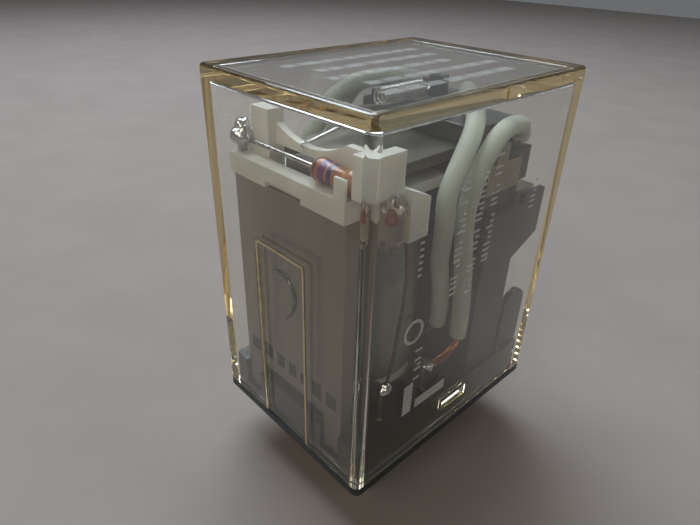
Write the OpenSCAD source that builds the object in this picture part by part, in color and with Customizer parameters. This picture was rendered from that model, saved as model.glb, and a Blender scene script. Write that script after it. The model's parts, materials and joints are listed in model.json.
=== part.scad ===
// Miniature plug-in control relay: four changeover contacts, clear dust cover, blade terminals.
// X runs along the long side, with the contacts at +X and the yoke at -X. Y runs across the poles.
// Z is up. The origin is the centre of the base's underside, where it seats in a socket.

/* [Cover] */
// Length of the cover and base along X
body_length = 28; // [26:0.5:34]
// Width of the cover and base along Y
body_width = 21.5; // [21:0.5:26]
// Height of the cover's top above the seating face
body_height = 36; // [35.5:0.5:44]
// Thickness of the cover's side walls
cover_wall = 1.2; // [0.8:0.1:1.4]
// Thickness of the cover's top
cover_top = 1.4; // [0.8:0.1:1.5]
// Outer radius of the cover's upright corners
cover_corner = 0.7; // [0.5:0.1:1.6]
// Radius of the corners inside the cover
inner_corner = 0.3; // [0.2:0.1:0.8]
// Width of the thin panel moulded in the narrow face
panel_width = 6.8; // [4:0.2:10]
// Height of the thin panel's top above the seating face
panel_top = 21.9; // [12:0.5:25]
// Depth of the thin panel
panel_depth = 0.2; // [0.1:0.05:0.4]
// Length of each latch window
window_length = 3.9; // [2.5:0.1:6]
// Height of each latch window
window_height = 1.3; // [1:0.1:2]

/* [Base] */
// Thickness of the base flange under the cover's rim
flange_height = 0.75; // [0.5:0.05:1.2]
// Height of the base plinth's top above the seating face
plinth_height = 5; // [4.4:0.1:5.6]
// Gap all round between the plinth and the cover's walls
cover_fit = 0.1; // [0.05:0.05:0.2]
// Gap between the cover's rim and the flange
rim_gap = 0.05; // [0.02:0.01:0.1]

/* [Terminals] */
// Distance between neighbouring poles along Y
pole_pitch = 4.4; // [4:0.1:5]
// Place of the normally closed row along X
closed_row_x = 8.8; // [8.6:0.1:9.2]
// Distance from the normally closed row to the normally open row
closed_to_open = 4.1; // [4:0.05:4.3]
// Distance from the normally open row to the common row
open_to_common = 7.15; // [7:0.05:7.3]
// Distance from the common row to the coil row
common_to_coil = 6.35; // [6.2:0.05:6.5]
// Length of the blades below the seating face
blade_length = 6.4; // [4:0.1:9]
// Width of each blade
blade_width = 2.6; // [2:0.1:3]
// Thickness of the terminal metal
blade_thickness = 0.5; // [0.3:0.05:0.6]
// Width of the slot-shaped eyelet in each blade
eyelet_width = 1.2; // [0.8:0.1:1.4]
// Length of the eyelet along the blade
eyelet_length = 2.2; // [1.6:0.1:2.6]
// Clearance round each blade in the base
blade_fit = 0.05; // [0.02:0.01:0.08]

/* [Contacts] */
// Radius of the fixed contact heads
fixed_contact_radius = 1; // [0.7:0.05:1.1]
// Radius of the moving contact heads
moving_contact_radius = 0.9; // [0.6:0.05:1]
// Distance of the contacts from the normally closed row
contact_offset = 1.1; // [0.9:0.05:1.3]
// Height of the lower fixed arms' tops
open_arm_z = 20.4; // [19.6:0.1:20.6]
// Thickness of each fixed contact head
contact_head = 0.5; // [0.3:0.05:0.6]
// Gap between the moving contact and the open contact at rest
contact_gap = 0.95; // [0.92:0.01:1.05]
// Thickness of the moving contact springs
spring_leaf = 0.2; // [0.1:0.02:0.3]
// Width of the moving contact springs
leaf_width = 2.6; // [1.8:0.1:2.8]

/* [Coil] */
// Place of the core's axis along X
core_x = -4.6; // [-4.8:0.1:-4.5]
// Radius of the iron core
core_radius = 2.4; // [1.8:0.1:2.6]
// Radius of the core's pole head
pole_radius = 3.4; // [2.8:0.1:3.6]
// Outer radius of the winding
winding_radius = 5.6; // [4.8:0.1:5.7]
// Thickness of the tape round the winding
tape_thickness = 0.15; // [0.05:0.05:0.2]
// Wall of the bobbin's tube
bobbin_wall = 0.6; // [0.4:0.05:0.9]
// Thickness of the yoke steel
yoke_thickness = 1.5; // [1.2:0.05:1.6]
// Width of the yoke's upright leg
yoke_width = 14.8; // [12:0.2:15.2]

/* [Armature] */
// Thickness of the armature plate
armature_thickness = 1; // [0.8:0.05:1.2]
// Radius of the rounded edge that the armature rocks on
hinge_radius = 0.5; // [0.35:0.05:0.55]
// Radial clearance of the armature on that edge
hinge_fit = 0.03; // [0.01:0.01:0.08]
// Outer radius of the return spring's coil
return_coil_radius = 0.8; // [0.6:0.05:1.1]
// Radius of the return spring's wire
return_wire_radius = 0.13; // [0.08:0.01:0.2]
// Number of turns in the return spring
return_turns = 12; // [8:1:14]

/* [Leads] */
// Outer radius of the insulating sleeves
sleeve_radius = 0.85; // [0.6:0.05:0.9]
// Inner radius of the insulating sleeves
sleeve_bore = 0.48; // [0.35:0.01:0.5]
// Radius of the copper braid in each sleeve
braid_radius = 0.4; // [0.25:0.01:0.45]

/* [Hidden] */
POLES = [1, 2, 3, 4];
$fn = 48;
eps = 0.01;
// More than the part's size, for cuts that leave the part
far = 60;

// Inside of the cover
inner_x = body_length / 2 - cover_wall;
inner_y = body_width / 2 - cover_wall;
inner_top = body_height - cover_top;
plinth_x = inner_x - cover_fit;
plinth_y = inner_y - cover_fit;

// Terminal rows and pole places
open_row_x = closed_row_x - closed_to_open;
common_row_x = open_row_x - open_to_common;
coil_row_x = common_row_x - common_to_coil;
function pole_y(pole) = (pole - 2.5) * pole_pitch;
function side_of(pole) = pole <= 2 ? -1 : 1;
function is_outer(pole) = pole == 1 || pole == 4;
strip_width = blade_width - 0.2;
half_strip = blade_thickness / 2;
shoulder_width = blade_width + 0.5;
shoulder_height = 0.9;

// Coil and yoke, stacked up from the plinth
foot_bottom = plinth_height + 0.05;
foot_top = foot_bottom + 1.3;
lower_cheek_top = foot_top + 0.9;
leg_x = -12.3;
leg_inner_x = leg_x + yoke_thickness;
leg_top = 27;
foot_half_width = 5;
foot_end_x = 1.2;
side_leg_z = 2;
neck_radius = core_radius * 2 / 3;
plate_bottom = leg_top - 0.8;
plate_top = leg_top + 0.2;
pole_top = plate_top + 0.8;
bobbin_bore = core_radius + 0.05;
bobbin_tube = bobbin_bore + bobbin_wall;
tape_radius = winding_radius + tape_thickness;
tongue_x = leg_inner_x - 0.1;
tongue_thickness = 2 * hinge_radius;
tongue_half_width = 1.6;

// Armature hinge: the rounded top of the yoke's tongue
hinge_x = tongue_x + hinge_radius;
hinge_z = leg_top + 1.3;
armature_bottom = hinge_z + 0.2;
armature_top = armature_bottom + armature_thickness;
armature_half_width = 5.2;
armature_rear_x = hinge_x - hinge_radius * 0.9;

// Contacts, stacked up from the open arms
contact_x = closed_row_x + contact_offset;
open_head_z = open_arm_z + contact_head;
moving_low_z = open_head_z + contact_gap;
leaf_z = moving_low_z + 0.55;
moving_top_z = leaf_z + spring_leaf + 0.55;
closed_head_z = moving_top_z + 0.05;
closed_arm_z = closed_head_z + contact_head;
closed_arm_top = closed_arm_z + blade_thickness;
rivet_radius = 0.45;
rivet_fit = 0.02;
outer_strip_x = inner_x - 0.65;

// Movable block
block_x = 2.9;
block_low_end = closed_row_x - 0.2;
block_end = contact_x;
block_bottom = leaf_z - 0.5;
block_step = closed_arm_top + 1.35;
block_shoulder = 28.9;
block_top = 31.2;
block_half_width = pole_pitch * 1.5 + leaf_width / 2 + 0.1;
block_head_half_width = 6.2;
block_pocket_end = block_x + 1.5;

// Contact frame
frame_wall = 0.6;
frame_inner_y = block_half_width + 0.4;
frame_outer_y = frame_inner_y + frame_wall;
barrier_top = open_arm_z + 0.2;
frame_side_top = 23.5;
frame_wing_x = inner_x - 0.4;
frame_wing_low = 17.4;
frame_wing_top = 24.3;

// Plates on the block's sides
plate_x = 2.7;
plate_back_x = 8;
plate_low = 25.4;
plate_neck_z = 28.3;
neck_x = 3.8;
neck_top = 30;

// Lead attachments
common_tab_x = 2.25;
common_tab_half = 1.3;
common_tab_top = 8.9;
outer_tab_inner_y = pole_pitch * 1.5 - 0.9;
outer_tab_outer_y = pole_pitch * 1.5 + 1;

// Bobbin top furniture
band_x = -12.65;
band_back_x = -11.2;
band_z = leg_top + 0.05;
ledge_z = leg_top + 1.9;
band_half_width = 7.5;
end_wall_y = 9;
end_wall_inner_y = 7.9;
end_wall_x = -12.4;
post_inner_y = 6.3;
post_thickness = 0.25;
post_top = 30.6;
corner_top = 32.6;
corner_end_x = -9.4;
lamp_shelf_z = 29.3;
raised_y = 3.8;
raised_outer_y = 6.2;
raised_top = 33;
bridge_x = -10.2;
bridge_back_x = -9.5;
bridge_low = 30;
tab_x = -8.7;
tab_end_x = -6.4;
tab_outer_y = 9.2;
tab_inner_y = 7.4;
tab_low = 25;
tab_top = 29.4;
tab_slope = 1;
narrow_half_width = 5.1;
plate_end_x = 0.9;

// Small electrical pieces on the bobbin
resistor_x = -11.33;
resistor_z = 29.97;
resistor_radius = 1;
resistor_start_y = -7.75;
resistor_end_y = -2.9;
thin_lead_radius = 0.2;
coil_post_x = -11.7;
coil_post_y = 6.8;
coil_post_half = 0.3;
post_solder_z = 30.4;
post_solder_radius = 0.9;
rear_solder_radius = 0.65;
rear_post_x = -7.5;
rear_post_y = 8.3;
lamp_x = -9.85;
lamp_y = -8.38;
lamp_radius = 1;
lamp_collar = 1.1;
lamp_collar_height = 0.3;
lamp_dome_z = 25.4;
lamp_z = 28;
lamp_lead_spacing = 0.9;
tag_top = 9.2;
tag_solder_radius = 0.6;
tag_solder_y = pole_pitch * 1.5 + 1;

// Return spring
return_z = 32.3;
return_start_x = -2.4;
return_end_x = 3.4;
hook_post_x = 5.4;
hook_post_end = 6.3;
hook_post_top = 33.3;

// Leads, on the -Y side: the outer pole's and the inner pole's
outer_sleeve_route = [
    [8.6, -7.3, 29.6], [8.4, -7.5, 30.4], [7, -8, 31.3], [5, -8.3, 31.6], [3.1, -8.5, 31.2],
    [1.6, -8.6, 30], [0.6, -8.6, 28.5], [-0.1, -8.6, 26.8], [-0.5, -8.6, 24.5], [-0.1, -8.6, 21.4],
    [0.6, -8.6, 17.6], [1.1, -8.6, 13.5], [1.1, -8.6, 10.8]
];
outer_braid_foot = [
    [0.8, -8.6, 9.8], [0, -8.5, 9.1], [-1.1, -8.3, 8.6], [-2.3, -7.99, 8.3]
];
inner_sleeve_route = [
    [6.7, -2.9, 32.15], [5.3, -4.1, 32.35], [3.8, -5.3, 32.4], [2.2, -6.5, 32.1], [0.6, -7.4, 31.4],
    [-1, -8, 30.3], [-2.4, -8.3, 28.7], [-3.2, -8.4, 27], [-3, -8.3, 24.6], [-2.2, -7.7, 22],
    [-1.2, -7, 19.5], [-0.2, -6.7, 16.5], [0.3, -6.6, 13.5], [0.5, -6.4, 11.4]
];
inner_braid_foot = [
    [0.8, -5.9, 10.2], [1.1, -5.3, 9.3], [1.6, -4.6, 8.7], [2.2, -3.95, 8.4]
];
coil_lead_route = [
    [-8.8, -8, 9.6], [-8.7, -8.3, 11], [-8.4, -8.5, 14], [-7.8, -8.5, 18.5], [-7.7, -8.5, 21.5],
    [-8, -8.4, 24.9]
];

// ---------- Shared shapes ----------

module box_between(low, high) {
    translate(low)
        cube([for (i = [0:2]) high[i] - low[i]]);
}

module rounded_plate(half_x, half_y, radius, low, high) {
    translate([0, 0, low])
        linear_extrude(high - low)
            union() {
                square([2 * half_x, 2 * (half_y - radius)], center = true);
                square([2 * (half_x - radius), 2 * half_y], center = true);
                for (x = [-1, 1], y = [-1, 1])
                    translate([x * (half_x - radius), y * (half_y - radius)])
                        circle(radius);
            }
}

// A prism along Y, from an outline of [x, z] points
module along_y(outline, low, high) {
    translate([0, high, 0])
        rotate([90, 0, 0])
            linear_extrude(high - low)
                polygon(outline);
}

// A prism along X, from an outline of [y, z] points
module along_x(outline, low, high) {
    translate([low, 0, 0])
        rotate([90, 0, 90])
            linear_extrude(high - low)
                polygon(outline);
}

module rod_y(x, z, radius, low, high) {
    translate([x, high, z])
        rotate([90, 0, 0])
            cylinder(h = high - low, r = radius);
}

module rod_x(y, z, radius, low, high) {
    translate([low, y, z])
        rotate([0, 90, 0])
            cylinder(h = high - low, r = radius);
}

module rod_z(x, y, radius, low, high) {
    translate([x, y, low])
        cylinder(h = high - low, r = radius);
}

// A smooth curve through points, with a number of steps between each pair
function clamped(points, i) = points[max(0, min(len(points) - 1, i))];
function curve_point(a, b, c, d, t) =
    0.5 * (2 * b + (c - a) * t + (2 * a - 5 * b + 4 * c - d) * t * t
        + (3 * b - a - 3 * c + d) * t * t * t);
function curve(points, steps) = [
    for (i = [0:len(points) - 2], s = [0:steps - 1])
        curve_point(clamped(points, i - 1), points[i], points[i + 1], clamped(points, i + 2), s / steps),
    points[len(points) - 1]
];

function unit(v) = v / norm(v);
function heading(path, i) =
    unit(path[min(i + 1, len(path) - 1)] - path[max(i - 1, 0)]);
function ring(path, i, radius, sides, side_axis) =
    let (
        forward = heading(path, i),
        across = unit(cross(forward, side_axis)),
        over = cross(forward, across)
    )
    [for (k = [0:sides - 1])
        path[i] + radius * (cos(360 * k / sides) * across + sin(360 * k / sides) * over)];

function two_triangles(a, b, c, d) = [[a, b, c], [a, c, d]];

// Triangles between neighbouring rings, facing outwards, or inwards for a bore
function wall_faces(count, sides, first, inwards) = [
    for (i = [0:count - 2], k = [0:sides - 1])
        let (
            n = (k + 1) % sides,
            near = first + i * sides,
            next = first + (i + 1) * sides
        )
        each (inwards
            ? two_triangles(near + n, next + n, next + k, near + k)
            : two_triangles(near + k, next + k, next + n, near + n))
];

// A round rod swept along a path
module swept_rod(path, radius, sides, side_axis) {
    count = len(path);
    points = [for (i = [0:count - 1]) each ring(path, i, radius, sides, side_axis)];
    walls = wall_faces(count, sides, 0, false);
    start_cap = [for (k = [0:sides - 1]) k];
    end_cap = [for (k = [sides - 1:-1:0]) (count - 1) * sides + k];
    polyhedron(points, concat(walls, [start_cap], [end_cap]));
}

// A sleeve swept along a path, open at both ends
module swept_sleeve(path, outer, inner, sides, side_axis) {
    count = len(path);
    points = concat(
        [for (i = [0:count - 1]) each ring(path, i, outer, sides, side_axis)],
        [for (i = [0:count - 1]) each ring(path, i, inner, sides, side_axis)]
    );
    inside = count * sides;
    last = (count - 1) * sides;
    outer_wall = wall_faces(count, sides, 0, false);
    inner_wall = wall_faces(count, sides, inside, true);
    start_rim = [
        for (k = [0:sides - 1])
            let (n = (k + 1) % sides)
            each two_triangles(k, n, inside + n, inside + k)
    ];
    end_rim = [
        for (k = [0:sides - 1])
            let (n = (k + 1) % sides)
            each two_triangles(last + n, last + k, inside + last + k, inside + last + n)
    ];
    polyhedron(points, concat(outer_wall, inner_wall, start_rim, end_rim));
}

// ---------- Base and frame ----------

module blade_slot(x, y) {
    half_x = half_strip + blade_fit;
    half_y = blade_width / 2 + blade_fit;
    box_between([x - half_x, y - half_y, -eps], [x + half_x, y + half_y, plinth_height + eps]);
}

module base() {
    color("#20262a")
        difference() {
            union() {
                rounded_plate(body_length / 2, body_width / 2, cover_corner, 0, flange_height);
                rounded_plate(plinth_x, plinth_y, inner_corner, flange_height - eps, plinth_height);
                for (side = [-1, 1])
                    terminal_ear(side);
            }
            for (pole = POLES) {
                blade_slot(closed_row_x, pole_y(pole));
                blade_slot(open_row_x, pole_y(pole));
                blade_slot(common_row_x, pole_y(pole));
            }
            for (pole = [1, 4])
                blade_slot(coil_row_x, pole_y(pole));
            for (pole = [2, 3])
                common_bar_trench(pole_y(pole));
            for (side = [-1, 1])
                yoke_leg_pocket(side);
            bend_relief();
        }
}

// Rounded ear beside the outermost blades
module terminal_ear(side) {
    ear_x = closed_row_x + 1.9;
    ear_radius = 1.9;
    ear_z = plinth_height + 5.6;
    inner = side * (frame_inner_y + 0.1);
    outer = side * (frame_outer_y + 0.1);
    union() {
        box_between(
            [ear_x - ear_radius, min(inner, outer), plinth_height - eps],
            [ear_x + ear_radius, max(inner, outer), ear_z]
        );
        rod_y(ear_x, ear_z, ear_radius, min(inner, outer), max(inner, outer));
    }
}

module common_bar_trench(y) {
    half_y = common_tab_half + blade_fit;
    box_between(
        [common_row_x - half_strip - blade_fit, y - half_y, plinth_height - 1.65],
        [common_tab_x + half_strip + blade_fit, y + half_y, plinth_height + eps]
    );
}

module yoke_leg_pocket(side) {
    gap = 0.05;
    inner = side * (foot_half_width - gap);
    outer = side * (yoke_width / 2 + gap);
    box_between(
        [-far, min(inner, outer), side_leg_z - gap],
        [leg_inner_x + gap, max(inner, outer), plinth_height + eps]
    );
}

// Shallow scoop under the yoke's bend, open towards the narrow face
module bend_relief() {
    box_between(
        [-far, -foot_half_width - eps, plinth_height - 0.3],
        [leg_x + 0.4, foot_half_width + eps, plinth_height + eps]
    );
}

module contact_frame() {
    color("#2c3032")
        union() {
            box_between(
                [block_x, -frame_outer_y, plinth_height],
                [block_x + frame_wall + 0.1, frame_outer_y, barrier_top]
            );
            for (side = [-1, 1])
                along_y(
                    [
                        [block_x, plinth_height], [closed_row_x - 0.5, plinth_height],
                        [closed_row_x - 0.5, frame_wing_low], [frame_wing_x, frame_wing_low + 1.9],
                        [frame_wing_x, frame_wing_top], [closed_row_x, frame_wing_top],
                        [closed_row_x - 0.5, frame_side_top], [block_x, frame_side_top]
                    ],
                    side > 0 ? frame_inner_y : -frame_outer_y, side > 0 ? frame_outer_y : -frame_inner_y
                );
            for (row = [-1:1])
                box_between(
                    [block_x + eps, row * pole_pitch - frame_wall / 2, plinth_height],
                    [closed_row_x - half_strip - 0.3, row * pole_pitch + frame_wall / 2, open_arm_z - 1.4]
                );
        }
}

// ---------- Terminals ----------

// The plug-in blade, with a pointed tip and a slot-shaped eyelet
module blade(x, y, top) {
    half = blade_width / 2;
    tip = 0.7;
    eyelet_z = -blade_length / 2 - 0.3;
    reach = (eyelet_length - eyelet_width) / 2;
    difference() {
        along_x(
            [
                [y - half, top], [y - half, -blade_length + tip],
                [y - half + tip, -blade_length], [y + half - tip, -blade_length],
                [y + half, -blade_length + tip], [y + half, top]
            ],
            x - half_strip, x + half_strip
        );
        for (end = [-1, 1])
            rod_x(y, eyelet_z + end * reach, eyelet_width / 2, x - 1, x + 1);
        box_between(
            [x - 1, y - eyelet_width / 2, eyelet_z - reach],
            [x + 1, y + eyelet_width / 2, eyelet_z + reach]
        );
    }
}

module shoulder(x, y) {
    box_between(
        [x - half_strip, y - shoulder_width / 2, plinth_height],
        [x + half_strip, y + shoulder_width / 2, plinth_height + shoulder_height]
    );
}

// Normally closed terminal: rises, steps outwards and bends in over the moving contact
module closed_terminal(pole) {
    y = pole_y(pole);
    step_low = 16.6;
    step_high = 18.8;
    inner = closed_row_x - half_strip;
    outer = closed_row_x + half_strip;
    color("#a29c86")
        union() {
            blade(closed_row_x, y, plinth_height + shoulder_height);
            shoulder(closed_row_x, y);
            difference() {
                along_y(
                    [
                        [inner, plinth_height + eps], [outer, plinth_height + eps], [outer, step_low - 0.15],
                        [outer_strip_x + half_strip, step_high - 0.15],
                        [outer_strip_x + half_strip, closed_arm_top],
                        [contact_x - moving_contact_radius, closed_arm_top],
                        [contact_x - moving_contact_radius, closed_arm_z],
                        [outer_strip_x - half_strip, closed_arm_z],
                        [outer_strip_x - half_strip, step_high + 0.15], [inner, step_low + 0.15]
                    ],
                    y - strip_width / 2, y + strip_width / 2
                );
                rod_z(contact_x, y, rivet_radius + rivet_fit, closed_arm_z - 1, closed_arm_top + 1);
            }
        }
}

// Normally open terminal: rises and bends out under the moving contact
module open_terminal(pole) {
    y = pole_y(pole);
    arm_bottom = open_arm_z - blade_thickness;
    color("#a29c86")
        union() {
            blade(open_row_x, y, plinth_height + shoulder_height);
            shoulder(open_row_x, y);
            difference() {
                along_y(
                    [
                        [open_row_x - half_strip, plinth_height + eps],
                        [open_row_x + half_strip, plinth_height + eps],
                        [open_row_x + half_strip, arm_bottom],
                        [contact_x + fixed_contact_radius, arm_bottom],
                        [contact_x + fixed_contact_radius, open_arm_z],
                        [open_row_x - half_strip, open_arm_z]
                    ],
                    y - strip_width / 2, y + strip_width / 2
                );
                rod_z(contact_x, y, rivet_radius + rivet_fit, arm_bottom - 1, open_arm_z + 1);
            }
        }
}

// Common terminals: the outer ones rise straight, the inner ones run under the yoke to a tab
module common_terminal(pole) {
    color("#a29c86")
        if (is_outer(pole))
            outer_common(pole);
        else
            inner_common(pole);
}

module outer_common(pole) {
    side = side_of(pole);
    inner = side * outer_tab_inner_y;
    outer = side * outer_tab_outer_y;
    union() {
        blade(common_row_x, pole_y(pole), plinth_height);
        box_between(
            [common_row_x - half_strip, min(inner, outer), plinth_height - eps],
            [common_row_x + half_strip, max(inner, outer), common_tab_top]
        );
    }
}

module inner_common(pole) {
    y = pole_y(pole);
    bar_low = plinth_height - 1.6;
    bar_high = bar_low + blade_thickness;
    union() {
        blade(common_row_x, y, bar_high);
        box_between(
            [common_row_x - half_strip, y - common_tab_half, bar_low],
            [common_tab_x + half_strip, y + common_tab_half, bar_high]
        );
        box_between(
            [common_tab_x - half_strip, y - common_tab_half, bar_low],
            [common_tab_x + half_strip, y + common_tab_half, common_tab_top]
        );
    }
}

module coil_terminal(side) {
    y = side * pole_pitch * 1.5;
    color("#a29c86")
        union() {
            blade(coil_row_x, y, plinth_height);
            box_between(
                [coil_row_x - half_strip, y - 1, plinth_height - eps],
                [coil_row_x + half_strip, y + 1, tag_top]
            );
        }
}

// ---------- Fixed contacts ----------

module closed_contacts() {
    color("#d8d6cf")
        for (pole = POLES)
            union() {
                rod_z(contact_x, pole_y(pole), fixed_contact_radius, closed_head_z, closed_arm_z);
                rod_z(contact_x, pole_y(pole), rivet_radius, closed_arm_z - eps, closed_arm_top + 0.15);
            }
}

module open_contacts() {
    color("#d8d6cf")
        for (pole = POLES)
            union() {
                rod_z(contact_x, pole_y(pole), fixed_contact_radius, open_arm_z, open_head_z);
                rod_z(
                    contact_x, pole_y(pole), rivet_radius,
                    open_arm_z - blade_thickness - 0.15, open_arm_z + eps
                );
            }
}

// ---------- Coil ----------

module yoke() {
    half = yoke_width / 2;
    bend = 1.2;
    color("#b0a796")
        difference() {
            union() {
                box_between([leg_x, -half, foot_top], [leg_inner_x, half, leg_top]);
                for (side = [-1, 1])
                    box_between(
                        [leg_x, side > 0 ? foot_half_width : -half, side_leg_z],
                        [leg_inner_x, side > 0 ? half : -foot_half_width, foot_top + eps]
                    );
                box_between(
                    [leg_x + bend, -foot_half_width, foot_bottom],
                    [foot_end_x, foot_half_width, foot_top]
                );
                box_between(
                    [leg_x, -foot_half_width, foot_bottom + bend],
                    [leg_inner_x, foot_half_width, foot_top + eps]
                );
                intersection() {
                    rod_y(leg_x + bend, foot_bottom + bend, bend, -foot_half_width, foot_half_width);
                    box_between(
                        [leg_x, -foot_half_width, foot_bottom],
                        [leg_x + bend + eps, foot_half_width, foot_bottom + bend + eps]
                    );
                }
                yoke_tongue();
            }
            rod_z(core_x, 0, neck_radius + rivet_fit, foot_bottom - 1, foot_top + 1);
        }
}

// Lip and rounded tongue that the armature rocks on
module yoke_tongue() {
    union() {
        box_between(
            [leg_inner_x - eps, -tongue_half_width, plate_bottom + 0.1],
            [tongue_x + tongue_thickness, tongue_half_width, plate_top]
        );
        box_between(
            [tongue_x, -tongue_half_width, plate_top - eps],
            [tongue_x + tongue_thickness, tongue_half_width, hinge_z]
        );
        rod_y(hinge_x, hinge_z, hinge_radius, -tongue_half_width, tongue_half_width);
    }
}

module core() {
    color("#8d8a84")
        union() {
            rod_z(core_x, 0, neck_radius, foot_bottom, foot_top + eps);
            rod_z(core_x, 0, core_radius, foot_top, plate_top);
            rod_z(core_x, 0, pole_radius, plate_top, pole_top);
        }
}

module coil_winding() {
    color("#9a5a34")
        difference() {
            rod_z(core_x, 0, winding_radius, lower_cheek_top, plate_bottom);
            rod_z(core_x, 0, bobbin_tube, lower_cheek_top - 1, plate_bottom + 1);
        }
}

module coil_tape() {
    color("#8e9088")
        difference() {
            rod_z(core_x, 0, tape_radius, lower_cheek_top + 0.2, plate_bottom - 0.2);
            rod_z(core_x, 0, winding_radius, lower_cheek_top, plate_bottom);
        }
}

module bobbin() {
    color("#e9e6d8")
        difference() {
            union() {
                rod_z(core_x, 0, bobbin_tube, foot_top, plate_bottom + eps);
                rod_z(core_x, 0, winding_radius + 0.2, foot_top, lower_cheek_top);
                bobbin_plate();
                bobbin_band();
                bobbin_corner();
                bobbin_raised_block();
                bobbin_bridge();
                for (side = [-1, 1])
                    bobbin_tab(side);
            }
            rod_z(core_x, 0, bobbin_bore, foot_top - 1, plate_top + 1);
            tongue_opening();
            lamp_pocket();
            slot_under_band();
        }
}

module bobbin_plate() {
    union() {
        box_between(
            [leg_inner_x + 0.05, -narrow_half_width, plate_bottom],
            [plate_end_x, narrow_half_width, plate_top]
        );
        box_between([tab_x, -end_wall_y + 0.1, plate_bottom], [tab_end_x, end_wall_y - 0.1, plate_top]);
    }
}

// Band across the narrow face, over the yoke's top edge
module bobbin_band() {
    union() {
        box_between([band_x, -band_half_width, band_z], [band_back_x, band_half_width, ledge_z]);
        box_between([band_x, raised_y, band_z], [corner_end_x, band_half_width, ledge_z]);
        box_between([band_x, -band_half_width, band_z], [corner_end_x, -raised_y, ledge_z]);
    }
}

// Thin post in front of the resistor and end wall past its end
module bobbin_corner() {
    union() {
        box_between(
            [band_x, -band_half_width, ledge_z - eps],
            [band_x + post_thickness, -post_inner_y, post_top]
        );
        box_between(
            [end_wall_x, -end_wall_y, lamp_shelf_z],
            [corner_end_x, -end_wall_inner_y, corner_top]
        );
        box_between(
            [bridge_x, -end_wall_y, ledge_z - eps],
            [corner_end_x, -end_wall_inner_y, corner_top]
        );
    }
}

module bobbin_raised_block() {
    union() {
        box_between(
            [resistor_x + thin_lead_radius + 0.1, raised_y, ledge_z - eps],
            [corner_end_x, raised_outer_y, raised_top]
        );
        box_between(
            [corner_end_x - 1.3, raised_outer_y - eps, ledge_z - eps],
            [corner_end_x, band_half_width, post_top]
        );
    }
}

// Wall behind the resistor, with a hollow top, bridging over the armature's rear edge
module bobbin_bridge() {
    hollow_radius = 8.4;
    hollow_low = 30.7;
    difference() {
        box_between(
            [bridge_x, -end_wall_inner_y - eps, plate_top - eps],
            [bridge_back_x, raised_y + eps, corner_top - 0.6]
        );
        rod_x(-0.4, hollow_radius + hollow_low, hollow_radius, bridge_x - 1, bridge_back_x + 1);
        box_between(
            [bridge_x - 1, -tongue_half_width - 0.4, plate_bottom],
            [bridge_back_x + 1, raised_y + 2 * eps, bridge_low]
        );
    }
}

module bobbin_tab(side) {
    along_y(
        [[tab_x, tab_low], [tab_end_x, tab_low], [tab_end_x, tab_top - tab_slope], [tab_x, tab_top]],
        side > 0 ? tab_inner_y : -tab_outer_y, side > 0 ? tab_outer_y : -tab_inner_y
    );
}

module tongue_opening() {
    gap = 0.05;
    box_between(
        [band_back_x, -tongue_half_width - gap, plate_bottom - 1],
        [tongue_x + tongue_thickness + gap, tongue_half_width + gap, hinge_z + hinge_radius]
    );
}

module slot_under_band() {
    box_between([band_x - 1, -2.4, band_z - 1], [band_x + 0.6, 2.3, band_z + 0.6]);
}

// Round recess for the lamp, open towards the wide face
module lamp_pocket() {
    radius = lamp_collar + 0.05;
    union() {
        rod_z(lamp_x, lamp_y, radius, band_z - 1, lamp_shelf_z - eps);
        box_between([lamp_x - radius, -far, band_z - 1], [lamp_x + radius, lamp_y, lamp_shelf_z - eps]);
    }
}

// ---------- Small electrical pieces ----------

// Lamp with its dome pointing down, hung from its two leads
module indicator_lamp() {
    color("#c9463f")
        union() {
            rod_z(lamp_x, lamp_y, lamp_collar, lamp_z - lamp_collar_height, lamp_z);
            rod_z(lamp_x, lamp_y, lamp_radius, lamp_dome_z, lamp_z);
            intersection() {
                translate([lamp_x, lamp_y, lamp_dome_z])
                    sphere(r = lamp_radius);
                rod_z(lamp_x, lamp_y, lamp_collar, lamp_dome_z - lamp_radius - eps, lamp_dome_z + eps);
            }
        }
}

module lamp_leads() {
    color("#b9b6ad")
        for (side = [-1, 1])
            rod_z(lamp_x + side * lamp_lead_spacing / 2, lamp_y, thin_lead_radius, lamp_z, lamp_shelf_z);
}

module resistor() {
    cap = 0.9;
    color("#b98a5c")
        difference() {
            union() {
                rod_y(resistor_x, resistor_z, resistor_radius - 0.1, resistor_start_y, resistor_end_y);
                for (cap_start = [resistor_start_y + 0.15, resistor_end_y - cap])
                    rod_y(resistor_x, resistor_z, resistor_radius, cap_start, cap_start + cap - 0.15);
            }
            rod_y(resistor_x, resistor_z, thin_lead_radius, resistor_start_y - 1, resistor_end_y + 1);
        }
}

module resistor_lead() {
    color("#b9b6ad")
        rod_y(resistor_x, resistor_z, thin_lead_radius, resistor_start_y, coil_post_y);
}

module coil_post(number) {
    x = number == 1 ? coil_post_x : rear_post_x;
    y = number == 1 ? coil_post_y : rear_post_y;
    foot = number == 1 ? ledge_z : tab_top - tab_slope;
    color("#b9b6ad")
        difference() {
            box_between(
                [x - coil_post_half, y - coil_post_half, foot],
                [x + coil_post_half, y + coil_post_half, post_solder_z + 1.2]
            );
            if (number == 1)
                resistor_lead();
            if (number == 2)
                bobbin_tab(1);
        }
}

module coil_lead(side) {
    color("#a8683c")
        scale_y(side)
            swept_rod(curve(coil_lead_route, 4), 0.25, 8, [0, 1, 0]);
}

module scale_y(side) {
    if (side < 0)
        children();
    else
        mirror([0, 1, 0])
            children();
}

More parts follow.
